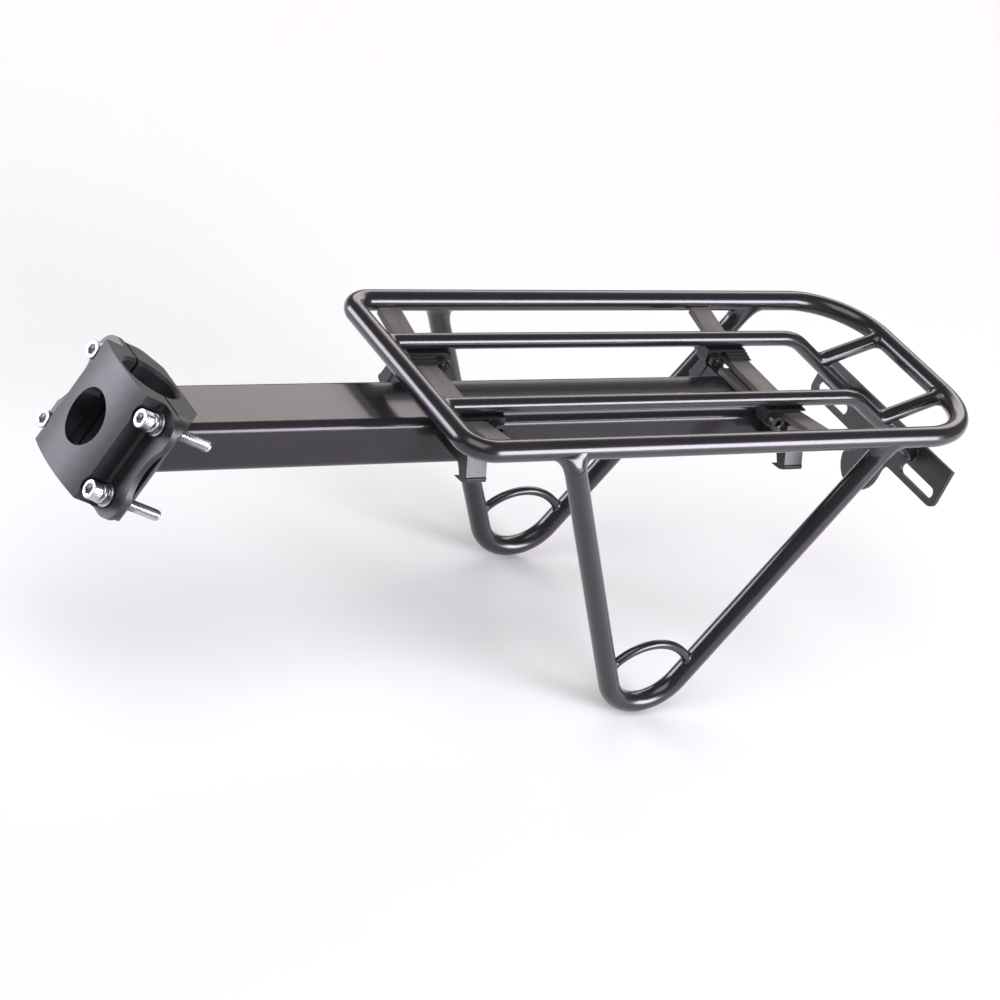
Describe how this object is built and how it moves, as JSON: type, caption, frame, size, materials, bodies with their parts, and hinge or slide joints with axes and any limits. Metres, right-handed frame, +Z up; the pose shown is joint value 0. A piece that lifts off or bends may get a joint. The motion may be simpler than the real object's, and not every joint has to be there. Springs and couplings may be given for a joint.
{
  "type": "seatpost-mounted bicycle rear rack",
  "caption": "Rear rack carried by a beam from a split seatpost clamp: tube platform with inner rails, V-shaped side struts with hook eyes and a slotted light bracket.",
  "frame": {"origin": "centre of the seatpost bore, midway along the clamp", "axes": "+X to the rear of the bicycle along the beam, +Y to its right-hand side, +Z up; the bore leans 23.7 degrees to the rear"},
  "size_m": [0.55, 0.1708, 0.1881],
  "materials": {
    "satin_black_paint": "satin black powder coat",
    "black_anodised": "satin black anodised extrusion",
    "cast_black": "satin black on a casting",
    "black_plastic": "moulded",
    "black_steel": "black oxide",
    "zinc_steel": "bright zinc plate"
  },
  "bodies": {
    "beam": {"seatpost_clamp_body": "cast_black", "beam_tube": "black_anodised", "beam_end_plug": "black_plastic"},
    "clamp_cap": {"seatpost_clamp_cap": "cast_black", "clamp_bolt_upper_left": "zinc_steel", "clamp_bolt_upper_right": "zinc_steel", "clamp_bolt_lower_left": "zinc_steel", "clamp_bolt_lower_right": "zinc_steel", "clamp_collar_upper_left": "zinc_steel", "clamp_collar_upper_right": "zinc_steel", "clamp_collar_lower_left": "zinc_steel", "clamp_collar_lower_right": "zinc_steel", "clamp_washer_upper_left": "zinc_steel", "clamp_washer_upper_right": "zinc_steel", "clamp_washer_lower_left": "zinc_steel", "clamp_washer_lower_right": "zinc_steel"},
    "platform": {"outer_loop": "satin_black_paint", "inner_rail_left": "satin_black_paint", "inner_rail_right": "satin_black_paint", "tail_riser_left": "satin_black_paint", "tail_riser_right": "satin_black_paint", "front_cross_member": "black_anodised", "rear_cross_member": "black_anodised", "beam_jaw_front_left": "cast_black", "rail_saddle_front_left": "black_plastic", "saddle_bolt_front_left": "black_steel", "saddle_nut_front_left": "black_steel", "beam_jaw_front_right": "cast_black", "rail_saddle_front_right": "black_plastic", "saddle_bolt_front_right": "black_steel", "saddle_nut_front_right": "black_steel", "beam_jaw_rear_left": "cast_black", "rail_saddle_rear_left": "black_plastic", "saddle_bolt_rear_left": "black_steel", "saddle_nut_rear_left": "black_steel", "beam_jaw_rear_right": "cast_black", "rail_saddle_rear_right": "black_plastic", "saddle_bolt_rear_right": "black_steel", "saddle_nut_rear_right": "black_steel", "side_strut_left": "satin_black_paint", "side_strut_right": "satin_black_paint", "strut_hoop_left": "satin_black_paint", "strut_hoop_right": "satin_black_paint", "light_bracket": "satin_black_paint"}
  },
  "joints": [
    {"name": "clamp_cap_slide", "type": "slide", "parent": "beam", "child": "clamp_cap", "axis": [-0.9155, 0, 0.4023], "range_m": [0, 0.008]},
    {"name": "platform_slide", "type": "slide", "parent": "beam", "child": "platform", "axis": [1, 0, 0], "range_m": [-0.06, 0]}
  ]
}
